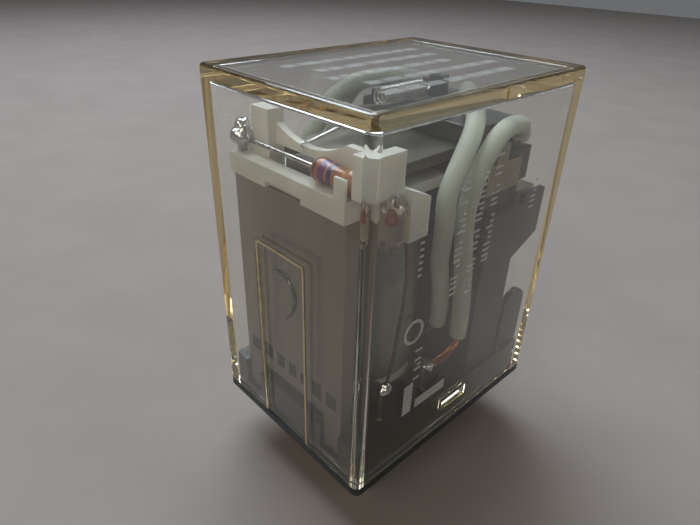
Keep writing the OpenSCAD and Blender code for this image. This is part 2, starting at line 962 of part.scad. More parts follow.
module solder_joints() {
    color("#c9ccce")
        union() {
            difference() {
                translate([coil_post_x, coil_post_y, post_solder_z])
                    sphere(r = post_solder_radius);
                coil_post(1);
                resistor_lead();
            }
            difference() {
                translate([rear_post_x, rear_post_y, post_solder_z + 0.3])
                    sphere(r = rear_solder_radius);
                coil_post(2);
                bobbin_tab(1);
            }
            for (side = [-1, 1])
                difference() {
                    translate([coil_row_x, side * tag_solder_y, tag_top - tag_solder_radius])
                        sphere(r = tag_solder_radius);
                    box_between(
                        [coil_row_x - half_strip, side * pole_pitch * 1.5 - 1, plinth_height],
                        [coil_row_x + half_strip, side * pole_pitch * 1.5 + 1, tag_top]
                    );
                }
        }
}

// ---------- Moving assembly ----------

module armature() {
    rear_half = tongue_half_width + 0.1;
    wide_x = corner_end_x + 0.3;
    color("#6f7069")
        difference() {
            union() {
                box_between(
                    [armature_rear_x, -rear_half, armature_bottom],
                    [wide_x + eps, rear_half, armature_top]
                );
                box_between(
                    [wide_x, -armature_half_width, armature_bottom],
                    [block_pocket_end, armature_half_width, armature_top]
                );
            }
            rod_y(hinge_x, hinge_z, hinge_radius + hinge_fit, -far, far);
        }
}

module block_slot(y) {
    box_between([block_x + 0.7, y - leaf_width / 2, leaf_z], [far, y + leaf_width / 2, leaf_z + spring_leaf]);
}

module movable_block() {
    color("#33383b")
        difference() {
            union() {
                box_between(
                    [block_x, -block_half_width, block_bottom],
                    [block_low_end, block_half_width, block_shoulder]
                );
                box_between(
                    [block_x + 1, -block_half_width, block_step],
                    [block_end, block_half_width, block_shoulder]
                );
                box_between(
                    [block_x, -block_head_half_width, block_shoulder - eps],
                    [block_end, block_head_half_width, block_top]
                );
                box_between([hook_post_x, -0.9, block_top - eps], [hook_post_end, 0.9, hook_post_top]);
            }
            box_between(
                [block_x - 1, -armature_half_width, armature_bottom],
                [block_pocket_end, armature_half_width, armature_top]
            );
            for (pole = POLES)
                block_slot(pole_y(pole));
        }
}

module moving_spring(pole) {
    y = pole_y(pole);
    color("#b08d57")
        difference() {
            box_between(
                [block_x + 0.7, y - leaf_width / 2, leaf_z],
                [contact_x + 1, y + leaf_width / 2, leaf_z + spring_leaf]
            );
            rod_z(contact_x, y, rivet_radius + rivet_fit, leaf_z - 1, leaf_z + 1);
        }
}

module moving_contacts() {
    color("#d8d6cf")
        for (pole = POLES)
            union() {
                rod_z(contact_x, pole_y(pole), moving_contact_radius, moving_low_z, leaf_z);
                rod_z(contact_x, pole_y(pole), rivet_radius, leaf_z - eps, leaf_z + spring_leaf + eps);
                rod_z(contact_x, pole_y(pole), moving_contact_radius, leaf_z + spring_leaf, moving_top_z);
            }
}

// Plate on the block's side, with a neck that the outer pole's braid is welded to
module lead_plate(side) {
    thickness = 0.3;
    low = side > 0 ? block_half_width : -block_half_width - thickness;
    color("#b3aa92")
        along_y(
            [
                [plate_x, plate_low], [plate_back_x, plate_low], [plate_back_x, plate_neck_z],
                [neck_x + 1.8, plate_neck_z], [neck_x + 1.8, neck_top], [neck_x, neck_top],
                [neck_x, plate_neck_z], [plate_x, plate_neck_z]
            ],
            low, low + thickness
        );
}

module return_spring() {
    steps = 10;
    mean_radius = return_coil_radius - return_wire_radius;
    turns_path = [
        for (i = [0:return_turns * steps])
            let (turn = 360 * i / steps, share = i / (return_turns * steps))
            [
                return_start_x + share * (return_end_x - return_start_x),
                mean_radius * sin(turn),
                return_z - mean_radius * cos(turn)
            ]
    ];
    rear_hook = [
        [bridge_x - 0.25, 0, 30.6], [bridge_x - 0.2, 0, 30.9], [bridge_back_x + 0.1, 0, 31.05],
        [return_start_x - 2.8, 0, return_z - 0.5], [return_start_x - 0.6, 0, return_z - mean_radius]
    ];
    front_hook = [
        [return_end_x + 0.4, 0, return_z - mean_radius + 0.1], [hook_post_x - 0.25, 0, return_z]
    ];
    color("#c4c6c4")
        swept_rod(concat(rear_hook, turns_path, front_hook), return_wire_radius, 6, [1, 0, 0.2]);
}

module sleeve(pole) {
    route = is_outer(pole) ? outer_sleeve_route : inner_sleeve_route;
    color("#dfe4d6")
        scale_y(side_of(pole))
            swept_sleeve(curve(route, 3), sleeve_radius, sleeve_bore, 8, [0, 1, 0]);
}

module braid(pole) {
    route = is_outer(pole)
        ? concat([[8.6, -7.2, 29.3]], outer_sleeve_route, outer_braid_foot)
        : concat([[7.3, -2.4, 31.95]], inner_sleeve_route, inner_braid_foot);
    color("#a5613a")
        scale_y(side_of(pole))
            swept_rod(curve(route, 3), braid_radius, 8, [0, 1, 0]);
}

// ---------- Cover ----------

module cover() {
    rim = flange_height + rim_gap;
    window_z = 3.9;
    color("#e8dfb6", 0.35)
        difference() {
            rounded_plate(body_length / 2, body_width / 2, cover_corner, rim, body_height);
            rounded_plate(inner_x, inner_y, inner_corner, rim - 1, inner_top);
            for (side = [-1, 1])
                box_between(
                    [-window_length / 2, side > 0 ? inner_y - 1 : -far, window_z - window_height / 2],
                    [window_length / 2, side > 0 ? far : -inner_y + 1, window_z + window_height / 2]
                );
            box_between(
                [-far, -panel_width / 2, 0],
                [-body_length / 2 + panel_depth, panel_width / 2, panel_top]
            );
        }
}

base();
contact_frame();
yoke();
core();
bobbin();
coil_winding();
coil_tape();
for (pole = POLES) {
    closed_terminal(pole);
    open_terminal(pole);
    common_terminal(pole);
    moving_spring(pole);
    sleeve(pole);
    braid(pole);
}
for (number = [1, 2]) {
    coil_terminal(2 * number - 3);
    coil_post(number);
    coil_lead(2 * number - 3);
    lead_plate(2 * number - 3);
}
closed_contacts();
open_contacts();
resistor();
resistor_lead();
indicator_lamp();
lamp_leads();
solder_joints();
armature();
movable_block();
moving_contacts();
return_spring();
cover();
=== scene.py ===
# %% [markdown]
# # A plug-in relay in a clear cover
# This lesson dresses a finished mechanical model for a close-up view. The relay is a coil and a set
# of contacts under a clear polycarbonate cover that has yellowed with age. The mechanical model arrives
# as a fixed frame, with every part in its place, so the work here is light, camera, finishes and the
# fine shapes that a mechanical model leaves out: rounded edges, strands, solder, colour bands and print.

# %% Load the frame
import json
import math
import random

import bmesh
import bpy
from mathutils import Matrix, Vector, noise


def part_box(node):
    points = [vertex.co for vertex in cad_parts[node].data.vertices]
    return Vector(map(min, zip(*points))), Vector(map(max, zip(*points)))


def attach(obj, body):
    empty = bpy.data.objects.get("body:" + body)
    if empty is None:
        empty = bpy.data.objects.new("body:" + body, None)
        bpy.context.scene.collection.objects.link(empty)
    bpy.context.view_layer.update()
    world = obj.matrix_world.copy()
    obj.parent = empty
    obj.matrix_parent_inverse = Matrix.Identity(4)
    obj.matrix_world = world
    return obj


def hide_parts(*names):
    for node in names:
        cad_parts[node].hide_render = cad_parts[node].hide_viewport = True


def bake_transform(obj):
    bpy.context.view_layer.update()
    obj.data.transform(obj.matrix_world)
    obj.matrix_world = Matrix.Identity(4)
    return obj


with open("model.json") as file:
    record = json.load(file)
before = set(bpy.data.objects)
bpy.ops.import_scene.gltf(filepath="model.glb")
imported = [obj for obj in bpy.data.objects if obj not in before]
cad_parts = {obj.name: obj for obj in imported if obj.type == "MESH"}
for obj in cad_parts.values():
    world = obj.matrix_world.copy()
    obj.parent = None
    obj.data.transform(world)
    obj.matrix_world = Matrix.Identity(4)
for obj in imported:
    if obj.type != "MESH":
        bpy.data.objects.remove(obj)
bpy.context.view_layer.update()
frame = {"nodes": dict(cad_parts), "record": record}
nodes = frame["nodes"]
MM = 0.001

# %% [markdown]
# ## Places that come from the frame
# A finish or a small piece goes where a part is, so its place is read from that part's own box. One
# short function returns a box in millimetres, which is easier to think in at this size.

# %% Boxes in millimetres


def box_mm(node):
    """Lowest and highest corner of a node, in millimetres."""
    low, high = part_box(node)
    return Vector(low) / MM, Vector(high) / MM


cover_low, cover_high = box_mm("cover")
yoke_low = box_mm("yoke")[0]
tape_low, tape_high = box_mm("coil_tape")
resistor_low, resistor_high = box_mm("resistor")
lamp_low, lamp_high = box_mm("indicator_lamp")
spring_low, spring_high = box_mm("return_spring")
post_low, post_high = box_mm("coil_post_1")
blade_tip = box_mm("closed_terminal_1")[0].z
print("cover", tuple(round(v, 2) for v in cover_low), tuple(round(v, 2) for v in cover_high))

# %% [markdown]
# ## Camera
# A relay is small, so the camera stands very near, about two body lengths away, and the perspective is
# strong: the near corner looks much bigger than the far one. The camera looks down on the narrow yoke end
# and one wide side, and rolls slightly, as if a hand held it.

# %% Camera
CAMERA_PLACE = Vector((-37.67, -33.53, 44.80)) * MM
CAMERA_AZIMUTH = math.radians(-43.94)
CAMERA_ELEVATION = math.radians(30.23)
CAMERA_ROLL = math.radians(1.74)
SENSOR_WIDTH = 36.0
LENS = 27.86
CLIP_START, CLIP_END = 0.002, 10.0


def camera_axes(azimuth, elevation, roll):
    """Right, up and backward directions of a camera that looks down at the relay."""
    back = Vector((
        math.sin(azimuth) * math.cos(elevation),
        -math.cos(azimuth) * math.cos(elevation),
        math.sin(elevation),
    ))
    level_right = Vector((0, 0, 1)).cross(back).normalized()
    level_up = back.cross(level_right)
    right = level_right * math.cos(roll) + level_up * math.sin(roll)
    up = level_up * math.cos(roll) - level_right * math.sin(roll)
    return right, up, back


camera_data = bpy.data.cameras.new("camera")
camera_data.lens = LENS
camera_data.sensor_width = SENSOR_WIDTH
camera_data.sensor_fit = "HORIZONTAL"
camera_data.clip_start = CLIP_START
camera_data.clip_end = CLIP_END
camera = bpy.data.objects.new("camera", camera_data)
turn = Matrix(camera_axes(CAMERA_AZIMUTH, CAMERA_ELEVATION, CAMERA_ROLL)).transposed().to_4x4()
camera.matrix_world = Matrix.Translation(CAMERA_PLACE) @ turn
bpy.context.scene.collection.objects.link(camera)
bpy.context.scene.camera = camera
print("camera at", [round(v, 4) for v in camera.location])

# %% [markdown]
# ## Colour and nodes
# Finishes are written as the sRGB hex codes that a paint or plastics maker would quote. Blender's
# shaders want linear light, so one function turns a hex code into linear values. A second one adds a
# node with its settings and its links, which keeps each finish short enough to read in one go.

# %% Colour and nodes
TONE_STOPS = (0.36, 0.64)
NOISE_LOW, NOISE_HIGH = 0.3, 0.7
BLOTCH_DETAIL, RELIEF_DETAIL = 4.0, 2.0


def linear(code, alpha=1.0):
    """An sRGB hex code as linear red, green, blue and alpha."""
    values = [int(code[i:i + 2], 16) / 255 for i in (1, 3, 5)]
    return [v / 12.92 if v <= 0.04045 else ((v + 0.055) / 1.055) ** 2.4 for v in values] + [alpha]


def add(material, kind, settings=None, **links):
    """Adds a node. Settings are its properties or socket values, links are outputs for its sockets."""
    node = material.node_tree.nodes.new(kind)
    for name, value in (settings or {}).items():
        if name in node.inputs:
            node.inputs[name].default_value = value
        else:
            setattr(node, name, value)
    for name, output in links.items():
        material.node_tree.links.new(output, node.inputs[name.replace("_", " ")])
    return node


def empty_material(name, **values):
    """A node material with a Principled shader wired to its output. Values are the shader's sockets."""
    material = bpy.data.materials.new(name)
    material.use_nodes = True
    material.node_tree.nodes.clear()
    shader = add(material, "ShaderNodeBsdfPrincipled", {k.replace("_", " "): v for k, v in values.items()})
    output = add(material, "ShaderNodeOutputMaterial", Surface=shader.outputs[0])
    return material, shader, output


def surface(name, dark, light, blotch_mm, roughness, relief_mm, relief_size_mm, stretch=(1, 1, 1), **values):
    """A finish in two tones. Blotches of blotch_mm drive the tone and the roughness, and a finer noise
    gives a relief of a real depth. Stretch draws both out along an axis, as rolling or brushing does."""
    material, shader, _ = empty_material(name, **values)
    place = add(material, "ShaderNodeTexCoord").outputs["Object"]
    drawn = add(material, "ShaderNodeMapping", {"Scale": stretch}, Vector=place).outputs[0]
    coarse = {"Scale": 1 / (blotch_mm * MM), "Detail": BLOTCH_DETAIL}
    blotch = add(material, "ShaderNodeTexNoise", coarse, Vector=drawn)
    tones = add(material, "ShaderNodeValToRGB", Fac=blotch.outputs["Fac"])
    for element, place_on_ramp, code in zip(tones.color_ramp.elements, TONE_STOPS, (dark, light)):
        element.position = place_on_ramp
        element.color = linear(code)
    spread = {"From Min": NOISE_LOW, "From Max": NOISE_HIGH, "To Min": roughness[0], "To Max": roughness[1]}
    rough = add(material, "ShaderNodeMapRange", spread, Value=blotch.outputs["Fac"])
    fine = {"Scale": 1 / (relief_size_mm * MM), "Detail": RELIEF_DETAIL}
    grain = add(material, "ShaderNodeTexNoise", fine, Vector=drawn)
    relief = add(material, "ShaderNodeBump", {"Distance": relief_mm * MM}, Height=grain.outputs["Fac"])
    for output_socket, name_of_socket in (
        (tones.outputs[0], "Base Color"), (rough.outputs[0], "Roughness"), (relief.outputs[0], "Normal"),
    ):
        material.node_tree.links.new(output_socket, shader.inputs[name_of_socket])
    return material


print("helpers ready")

# %% [markdown]
# ## Floor and light
# The floor is a plain, matt, warm grey sheet. Clear plastic only looks clear when there is something soft
# and bright for it to mirror, so the light is a large softbox behind and above, a weaker one in front, a
# small one at the side and a pale, even surround. The big softbox gives the pale top faces and the long
# highlights along the cover's edges.

# %% Floor
FLOOR_HALF = 0.6
FLOOR_BLOTCH_MM = 14

floor_mesh = bpy.data.meshes.new("floor")
corners = [(x * FLOOR_HALF, y * FLOOR_HALF, blade_tip * MM) for x, y in ((-1, -1), (1, -1), (1, 1), (-1, 1))]
floor_mesh.from_pydata(corners, [], [(0, 1, 2, 3)])
floor_mesh.materials.append(
    surface(
        "matt_paper_sheet", "#807770", "#847B74", FLOOR_BLOTCH_MM, (0.85, 0.95), 0.03, 0.5,
        Specular_IOR_Level=0.2,
    )
)
floor = bpy.data.objects.new("floor", floor_mesh)
bpy.context.scene.collection.objects.link(floor)
print("floor at", round(blade_tip, 2), "mm")

# %% Light
LIGHT_TARGET = Vector((0, 0, 0.015))
SURROUND_STRENGTH = 0.29
CLEAR_BOUNCES = 36
OTHER_BOUNCES = 4
SEE_THROUGH_BOUNCES = 16


def area_light(name, place, size, watts, colour):
    """A square softbox that faces the relay's middle."""
    data = bpy.data.lights.new(name, "AREA")
    data.shape = "SQUARE"
    data.size = size
    data.energy = watts
    data.color = linear(colour)[:3]
    light = bpy.data.objects.new(name, data)
    light.location = place
    light.rotation_euler = (Vector(place) - LIGHT_TARGET).to_track_quat("Z", "Y").to_euler()
    bpy.context.scene.collection.objects.link(light)


area_light("window_softbox", (0.06, 0.20, 0.40), 0.34, 3.4, "#E2F0FF")
area_light("front_fill", (-0.34, -0.10, 0.26), 0.26, 0.64, "#FFF4E4")
area_light("side_strip", (0.22, -0.30, 0.20), 0.12, 0.16, "#FFFFFF")

world = bpy.data.worlds.new("surround")
world.use_nodes = True
world.node_tree.nodes["Background"].inputs["Color"].default_value = linear("#B9BCC0")
world.node_tree.nodes["Background"].inputs["Strength"].default_value = SURROUND_STRENGTH
bpy.context.scene.world = world
bpy.context.scene.view_settings.view_transform = "Standard"
# A ray in the edge of a clear wall is mirrored many times before it gets out, so it is let go on for long.
bpy.context.scene.cycles.max_bounces = CLEAR_BOUNCES + OTHER_BOUNCES
bpy.context.scene.cycles.transmission_bounces = CLEAR_BOUNCES
bpy.context.scene.cycles.glossy_bounces = CLEAR_BOUNCES
bpy.context.scene.cycles.transparent_max_bounces = SEE_THROUGH_BOUNCES
print("lights ready")

# %% [markdown]
# ## Moulded plastics
# The base, contact frame and block are phenolic and nylon mouldings: dark, a little glossy, with a fine
# matt texture from the mould. The bobbin is cream nylon, which lets light in a short way, so it gets a
# subsurface radius of a fraction of a millimetre. Plastics have an IOR near 1.5.

# %% Mouldings
finish = {}
finish["base_moulding"] = surface(
    "black_phenolic_moulding", "#1B2023", "#262C2F", 6, (0.36, 0.5), 0.006, 0.12, IOR=1.54
)
finish["frame_moulding"] = surface(
    "charcoal_nylon_moulding", "#2B2F30", "#383D3D", 5, (0.38, 0.52), 0.006, 0.12, IOR=1.53
)
finish["block_moulding"] = surface(
    "dark_grey_nylon_moulding", "#3F4340", "#4E524E", 5, (0.36, 0.5), 0.006, 0.12, IOR=1.53
)
finish["bobbin_nylon"] = surface(
    "cream_nylon_moulding", "#E6E4D6", "#F2F0E6", 3, (0.32, 0.46), 0.006, 0.15, IOR=1.53,
    Subsurface_Weight=0.25, Subsurface_Radius=(0.9 * MM, 0.7 * MM, 0.5 * MM), Subsurface_Scale=1.0,
)
finish["sleeve_plastic"] = surface(
    "extruded_soft_sleeve", "#C9D0BE", "#DBE1D0", 2.5, (0.36, 0.48), 0.01, 0.4, (1, 1, 0.25), IOR=1.5,
    Subsurface_Weight=0.3, Subsurface_Radius=(0.6 * MM, 0.6 * MM, 0.45 * MM), Subsurface_Scale=1.0,
)
finish["coil_tape"] = surface(
    "polyester_winding_tape", "#6F7268", "#878A7E", 3, (0.22, 0.36), 0.03, 0.8, (1, 1, 0.35), IOR=1.6,
    Coat_Weight=0.3, Coat_Roughness=0.15,
)
print(len(finish), "plastic finishes")

# %% [markdown]
# ## Metals
# The yoke is zinc-plated and passivated steel, which turns a warm satin grey. Blades and lead plates are
# tinned brass, the moving springs are rolled bronze, and the coil lead shows its copper through a clear
# enamel. Rolled strip has a grain along one axis, so its noise is stretched along that axis.

# %% Metals
finish["yoke_steel"] = surface(
    "passivated_plated_steel", "#8A8171", "#9B9282", 5, (0.34, 0.46), 0.006, 0.3, (1, 1, 0.3), Metallic=0.85
)
finish["core_iron"] = surface(
    "turned_plated_iron", "#8C8981", "#A5A299", 2, (0.3, 0.42), 0.004, 0.1, Metallic=1.0
)
finish["armature_iron"] = surface(
    "stamped_plated_iron", "#77756C", "#908D83", 3, (0.32, 0.46), 0.006, 0.25, (0.4, 1, 1), Metallic=1.0
)
finish["plated_brass"] = surface(
    "tinned_brass_strip", "#9D9683", "#BDB7A6", 2, (0.28, 0.42), 0.004, 0.15, (1, 1, 0.25), Metallic=1.0
)
finish["lead_brass"] = surface(
    "dull_brass_strip", "#8C8470", "#A49C87", 2, (0.32, 0.46), 0.004, 0.15, Metallic=1.0
)
finish["spring_bronze"] = surface(
    "rolled_phosphor_bronze", "#A5794A", "#C0935C", 3, (0.24, 0.36), 0.003, 0.15, (0.2, 1, 1), Metallic=1.0
)
finish["contact_silver"] = surface(
    "coined_silver", "#BDBBB2", "#D8D6CC", 0.6, (0.22, 0.36), 0.003, 0.1, Metallic=1.0
)
finish["tinned_wire"] = surface(
    "tinned_wire", "#A8A69E", "#C4C2BA", 1, (0.18, 0.3), 0.003, 0.2, Metallic=1.0
)
finish["spring_steel"] = surface(
    "drawn_spring_wire", "#BDBDB8", "#D6D6D2", 1.5, (0.16, 0.26), 0.002, 0.2, Metallic=1.0
)
finish["solder"] = surface(
    "tin_lead_solder", "#B9BBBB", "#DADCDC", 0.8, (0.06, 0.2), 0.02, 0.5, Metallic=1.0
)
finish["enamelled_copper"] = surface(
    "enamelled_copper_wire", "#4A2414", "#5E2F18", 1, (0.2, 0.32), 0.004, 0.2, Metallic=1.0,
    Coat_Weight=0.8, Coat_Roughness=0.1, Coat_IOR=1.5,
)
finish["copper_braid"] = surface(
    "bare_copper_strand", "#9A5A34", "#B87348", 0.8, (0.28, 0.42), 0.003, 0.1, Metallic=1.0
)
print(len(finish), "finishes so far")

# %% [markdown]
# ## Clear and coloured resins
# The cover is injection-moulded polycarbonate. It bends light strongly, with an IOR of 1.58, and decades
# of warmth turn it yellow. The yellow barely shows through one wall, but along an edge the eye looks
# through many millimetres of plastic and sees amber, so the colour is an absorption inside the solid.
# The resistor has a tan lacquer with colour bands: a ramp along its length, with hard steps, paints them.

# %% Resins
YELLOWING_PER_METRE = 45.0

finish["clear_polycarbonate"], _, cover_output = empty_material(
    "aged_clear_polycarbonate", Base_Color=linear("#FFFFFF"), Transmission_Weight=1.0, IOR=1.58,
    Roughness=0.02,
)
depth = add(
    finish["clear_polycarbonate"], "ShaderNodeVolumeAbsorption",
    {"Density": YELLOWING_PER_METRE, "Color": linear("#F2DF8E")},
)
finish["clear_polycarbonate"].node_tree.links.new(depth.outputs[0], cover_output.inputs["Volume"])
finish["lamp_red"] = surface(
    "red_tinted_lamp_resin", "#F4E2D2", "#F8EADC", 1, (0.02, 0.06), 0.001, 0.5, IOR=1.52,
    Transmission_Weight=0.95,
)


def banded_lacquer():
    """Tan lacquer with hard-edged bands along Y, at the resistor's own place."""
    length = (resistor_high.y - resistor_low.y) * MM
    start = resistor_low.y * MM
    material, shader, _ = empty_material(
        "banded_resistor_lacquer", Roughness=0.32, IOR=1.5, Coat_Weight=0.4
    )
    place = add(material, "ShaderNodeTexCoord").outputs["Object"]
    along = add(material, "ShaderNodeSeparateXYZ", Vector=place).outputs["Y"]
    share = add(material, "ShaderNodeMapRange", {"From Min": start, "From Max": start + length}, Value=along)
    bands = add(material, "ShaderNodeValToRGB", Fac=share.outputs[0])
    bands.color_ramp.interpolation = "CONSTANT"
    tan = "#A8663C"
    stops = [
        (0.0, tan), (0.2, "#B48A3C"), (0.28, tan), (0.5, "#3A2C62"), (0.6, tan),
        (0.66, "#6A3A7C"), (0.78, tan), (0.84, "#7A3418"), (0.93, tan),
    ]
    while len(bands.color_ramp.elements) < len(stops):
        bands.color_ramp.elements.new(0.99)
    for element, (place_on_ramp, code) in zip(bands.color_ramp.elements, stops):
        element.position = place_on_ramp
        element.color = linear(code)
    material.node_tree.links.new(bands.outputs[0], shader.inputs["Base Color"])
    return material


finish["resistor_lacquer"] = banded_lacquer()
white_ink = surface(
    "pad_printed_white_ink", "#D9D9D2", "#E6E6E0", 1, (0.4, 0.6), 0.004, 0.1, IOR=1.5, Alpha=0.42
)
faint_ink = surface(
    "worn_pale_ink", "#B9BAB6", "#CFCFCA", 1, (0.4, 0.6), 0.004, 0.1, IOR=1.5, Alpha=0.2
)
black_ink = surface(
    "rubber_stamped_black_ink", "#2C2B2A", "#3A3836", 0.5, (0.5, 0.7), 0.003, 0.1, IOR=1.5
)
varnish = surface(
    "dried_locking_varnish", "#2B2724", "#3A342E", 0.6, (0.04, 0.1), 0.02, 0.6, IOR=1.5, Coat_Weight=1.0
)

# %% [markdown]
# ## Finishes and soft edges on the mechanical parts
# Each part names the slot that its finish comes from. Nothing moulded or stamped has a knife edge, and
# a real edge is seen by the thin line of light on it. Weld joins the loose facets of the mechanical mesh,
# and Bevel rounds only the sharp edges.

# %% Mechanical parts
EDGE_MM = {
    "base": 0.12, "contact_frame": 0.1, "movable_block": 0.15, "bobbin": 0.12, "yoke": 0.12, "armature": 0.1,
    "core": 0.08, "lead_plate_1": 0.05, "lead_plate_2": 0.05,
}
TERMINAL_EDGE_MM = 0.05
WELD_DISTANCE = 1e-6
SHARP_EDGE = math.radians(40)
slot_of = {row["node"]: row["material_slot"] for row in frame["record"]["subparts"]}

for name, node in nodes.items():
    node.data.materials.clear()
    node.data.materials.append(finish[slot_of[name]])
    edge = EDGE_MM.get(name, TERMINAL_EDGE_MM if "terminal" in name else 0)
    if edge:
        node.modifiers.new("weld", "WELD").merge_threshold = WELD_DISTANCE
        bevel = node.modifiers.new("soft_edges", "BEVEL")
        bevel.width = edge * MM
        bevel.segments = 2
        bevel.limit_method = "ANGLE"
        bevel.angle_limit = SHARP_EDGE
print(len(nodes), "parts finished,", sum(1 for node in nodes.values() if node.modifiers), "with soft edges")

# %% [markdown]
# ## Making meshes
# Most of the fine pieces are sweeps: a ring of points carried along a path and skinned with quads. A
# smooth path comes from a few given points through a Catmull-Rom curve, and each ring keeps a steady
# pair of side directions, so that a tube doesn't twist.

# %% Sweeps
ROUND_SIDES, WIRE_SIDES, STRAND_SIDES = 32, 10, 6


def smooth(points, steps=6):
    """A Catmull-Rom curve through the points."""
    points = [Vector(p) for p in points]
    curve = []
    for i in range(len(points) - 1):
        a, b, c, d = points[max(i - 1, 0)], points[i], points[i + 1], points[min(i + 2, len(points) - 1)]
        for k in range(steps):
            t = k / steps
            curve.append(0.5 * (
                2 * b + (c - a) * t + (2 * a - 5 * b + 4 * c - d) * t ** 2 + (3 * b - a - 3 * c + d) * t ** 3
            ))
    return curve + [points[-1]]


def side_pairs(path):
    """A steady pair of side directions at each point of a path."""
    last = len(path) - 1
    tangents = [(path[min(i + 1, last)] - path[max(i - 1, 0)]).normalized() for i in range(last + 1)]
    side = tangents[0].orthogonal().normalized()
    pairs = []
    for tangent in tangents:
        side = (side - tangent * side.dot(tangent)).normalized()
        pairs.append((side, tangent.cross(side)))
    return pairs


def rings_along(path, radii, sides):
    """A ring of points at each point of the path. Radii is one radius or one for each ring."""
    radii = radii if isinstance(radii, list) else [radii] * len(path)
    turns = [2 * math.pi * k / sides for k in range(sides)]
    return [
        [centre + (a * math.cos(t) + b * math.sin(t)) * radius for t in turns]
        for centre, radius, (a, b) in zip(path, radii, side_pairs(path))
    ]


def skin(rings, loop=False):
    """Points in millimetres and faces over a row of equal rings, closed at the ends or joined in a loop."""
    count = len(rings[0])
    points = [point for ring in rings for point in ring]
    faces = []
    for r in range(len(rings) if loop else len(rings) - 1):
        a, b = r * count, (r + 1) % len(rings) * count
        faces += [(a + i, a + (i + 1) % count, b + (i + 1) % count, b + i) for i in range(count)]
    if not loop:
        faces += [tuple(range(count))[::-1], tuple(range(len(points) - count, len(points)))]
    return points, faces


def piece(name, shapes, material, body, stands_for=(), blend=None, sharp=38):
    """Makes one object from (points, faces) shapes in millimetres, fixes it in place or attaches it to its
    body, and hides the parts it stands for.
    """
    points, faces = [], []
    for shape_points, shape_faces in shapes:
        first = len(points)
        points += [Vector(p) * MM for p in shape_points]
        faces += [tuple(first + i for i in face) for face in shape_faces]
    mesh = bpy.data.meshes.new(name)
    mesh.from_pydata(points, [], faces)
    tidy = bmesh.new()
    tidy.from_mesh(mesh)
    bmesh.ops.recalc_face_normals(tidy, faces=tidy.faces)
    tidy.to_mesh(mesh)
    tidy.free()
    mesh.materials.append(material)
    mesh.polygons.foreach_set("use_smooth", [True] * len(mesh.polygons))
    mesh.set_sharp_from_angle(angle=math.radians(sharp))
    made = bpy.data.objects.new(name, mesh)
    bpy.context.scene.collection.objects.link(made)
    if blend:
        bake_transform(made)
    else:
        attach(made, body)
    if stands_for:
        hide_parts(*stands_for)
    print(name, len(mesh.polygons), "faces")
    return made


# %% [markdown]
# ## Leads: sleeves and braids
# Each pole's braid runs from the moving block, over the top and down to its common terminal, inside a
# soft sleeve. A sleeve is a hollow tube, an outer skin that turns back into an inner one. A braid is a
# twisted bundle of strands, which shows at both ends of the sleeve. Both bend when the armature moves;
# here they are fixed in their rest shape, tied to neither the relay nor the armature.

# %% Leads
OUTER_SLEEVE = [
    (8.6, -7.3, 29.6), (8.4, -7.5, 30.4), (7, -8, 31.3), (5, -8.3, 31.6), (3.1, -8.5, 31.2),
    (1.6, -8.6, 30), (0.6, -8.6, 28.5), (-0.1, -8.6, 26.8), (-0.5, -8.6, 24.5), (-0.1, -8.6, 21.4),
    (0.6, -8.6, 17.6), (1.1, -8.6, 13.5), (1.1, -8.6, 10.8),
]
OUTER_FOOT = [(0.8, -8.6, 9.8), (0, -8.5, 9.1), (-1.1, -8.3, 8.6), (-2.3, -7.99, 8.3)]
INNER_SLEEVE = [
    (6.7, -2.9, 32.15), (5.3, -4.1, 32.35), (3.8, -5.3, 32.4), (2.2, -6.5, 32.1), (0.6, -7.4, 31.4),
    (-1, -8, 30.3), (-2.4, -8.3, 28.7), (-3.2, -8.4, 27), (-3, -8.3, 24.6), (-2.2, -7.7, 22),
    (-1.2, -7, 19.5), (-0.2, -6.7, 16.5), (0.3, -6.6, 13.5), (0.5, -6.4, 11.4),
]
INNER_FOOT = [(0.8, -5.9, 10.2), (1.1, -5.3, 9.3), (1.6, -4.6, 8.7), (2.2, -3.95, 8.4)]
OUTER_LEAD = (OUTER_SLEEVE, OUTER_FOOT, (8.6, -7.2, 29.3))
INNER_LEAD = (INNER_SLEEVE, INNER_FOOT, (7.3, -2.4, 31.95))
LEAD_BLEND = [(0, 0, 12), (0, 0, 29)]
SLEEVE_OUTER = 0.85
SLEEVE_BORE = 0.5
SLEEVE_SIDES = 24
MOUTH_ROUND = 0.06
STRAND = 0.13
STRAND_RING = 0.27
STRAND_TWIST = 0.9


def hollow_tube(path):
    """A sleeve: the outer skin forward, then the inner skin back, with a small round at each mouth."""
    narrow = SLEEVE_OUTER - MOUTH_ROUND
    outward = rings_along(path, [narrow] + [SLEEVE_OUTER] * (len(path) - 2) + [narrow], SLEEVE_SIDES)
    inward = rings_along(path, SLEEVE_BORE, SLEEVE_SIDES)
    middle = rings_along(path, (SLEEVE_OUTER + SLEEVE_BORE) / 2, SLEEVE_SIDES)
    return skin(outward + [middle[-1]] + inward[::-1] + [middle[0]], loop=True)


def strands(path):
    """Seven strands: one straight and six twisted round it, in radians per millimetre."""
    shapes = [skin(rings_along(path, STRAND, STRAND_SIDES))]
    pairs = side_pairs(path)
    for k in range(6):
        length, line = 0.0, []
        for i, (centre, (a, b)) in enumerate(zip(path, pairs)):
            length += (centre - path[i - 1]).length if i else 0.0
            angle = k * math.pi / 3 + STRAND_TWIST * length
            line.append(centre + (a * math.cos(angle) + b * math.sin(angle)) * STRAND_RING)
        shapes.append(skin(rings_along(line, STRAND, STRAND_SIDES)))
    return shapes


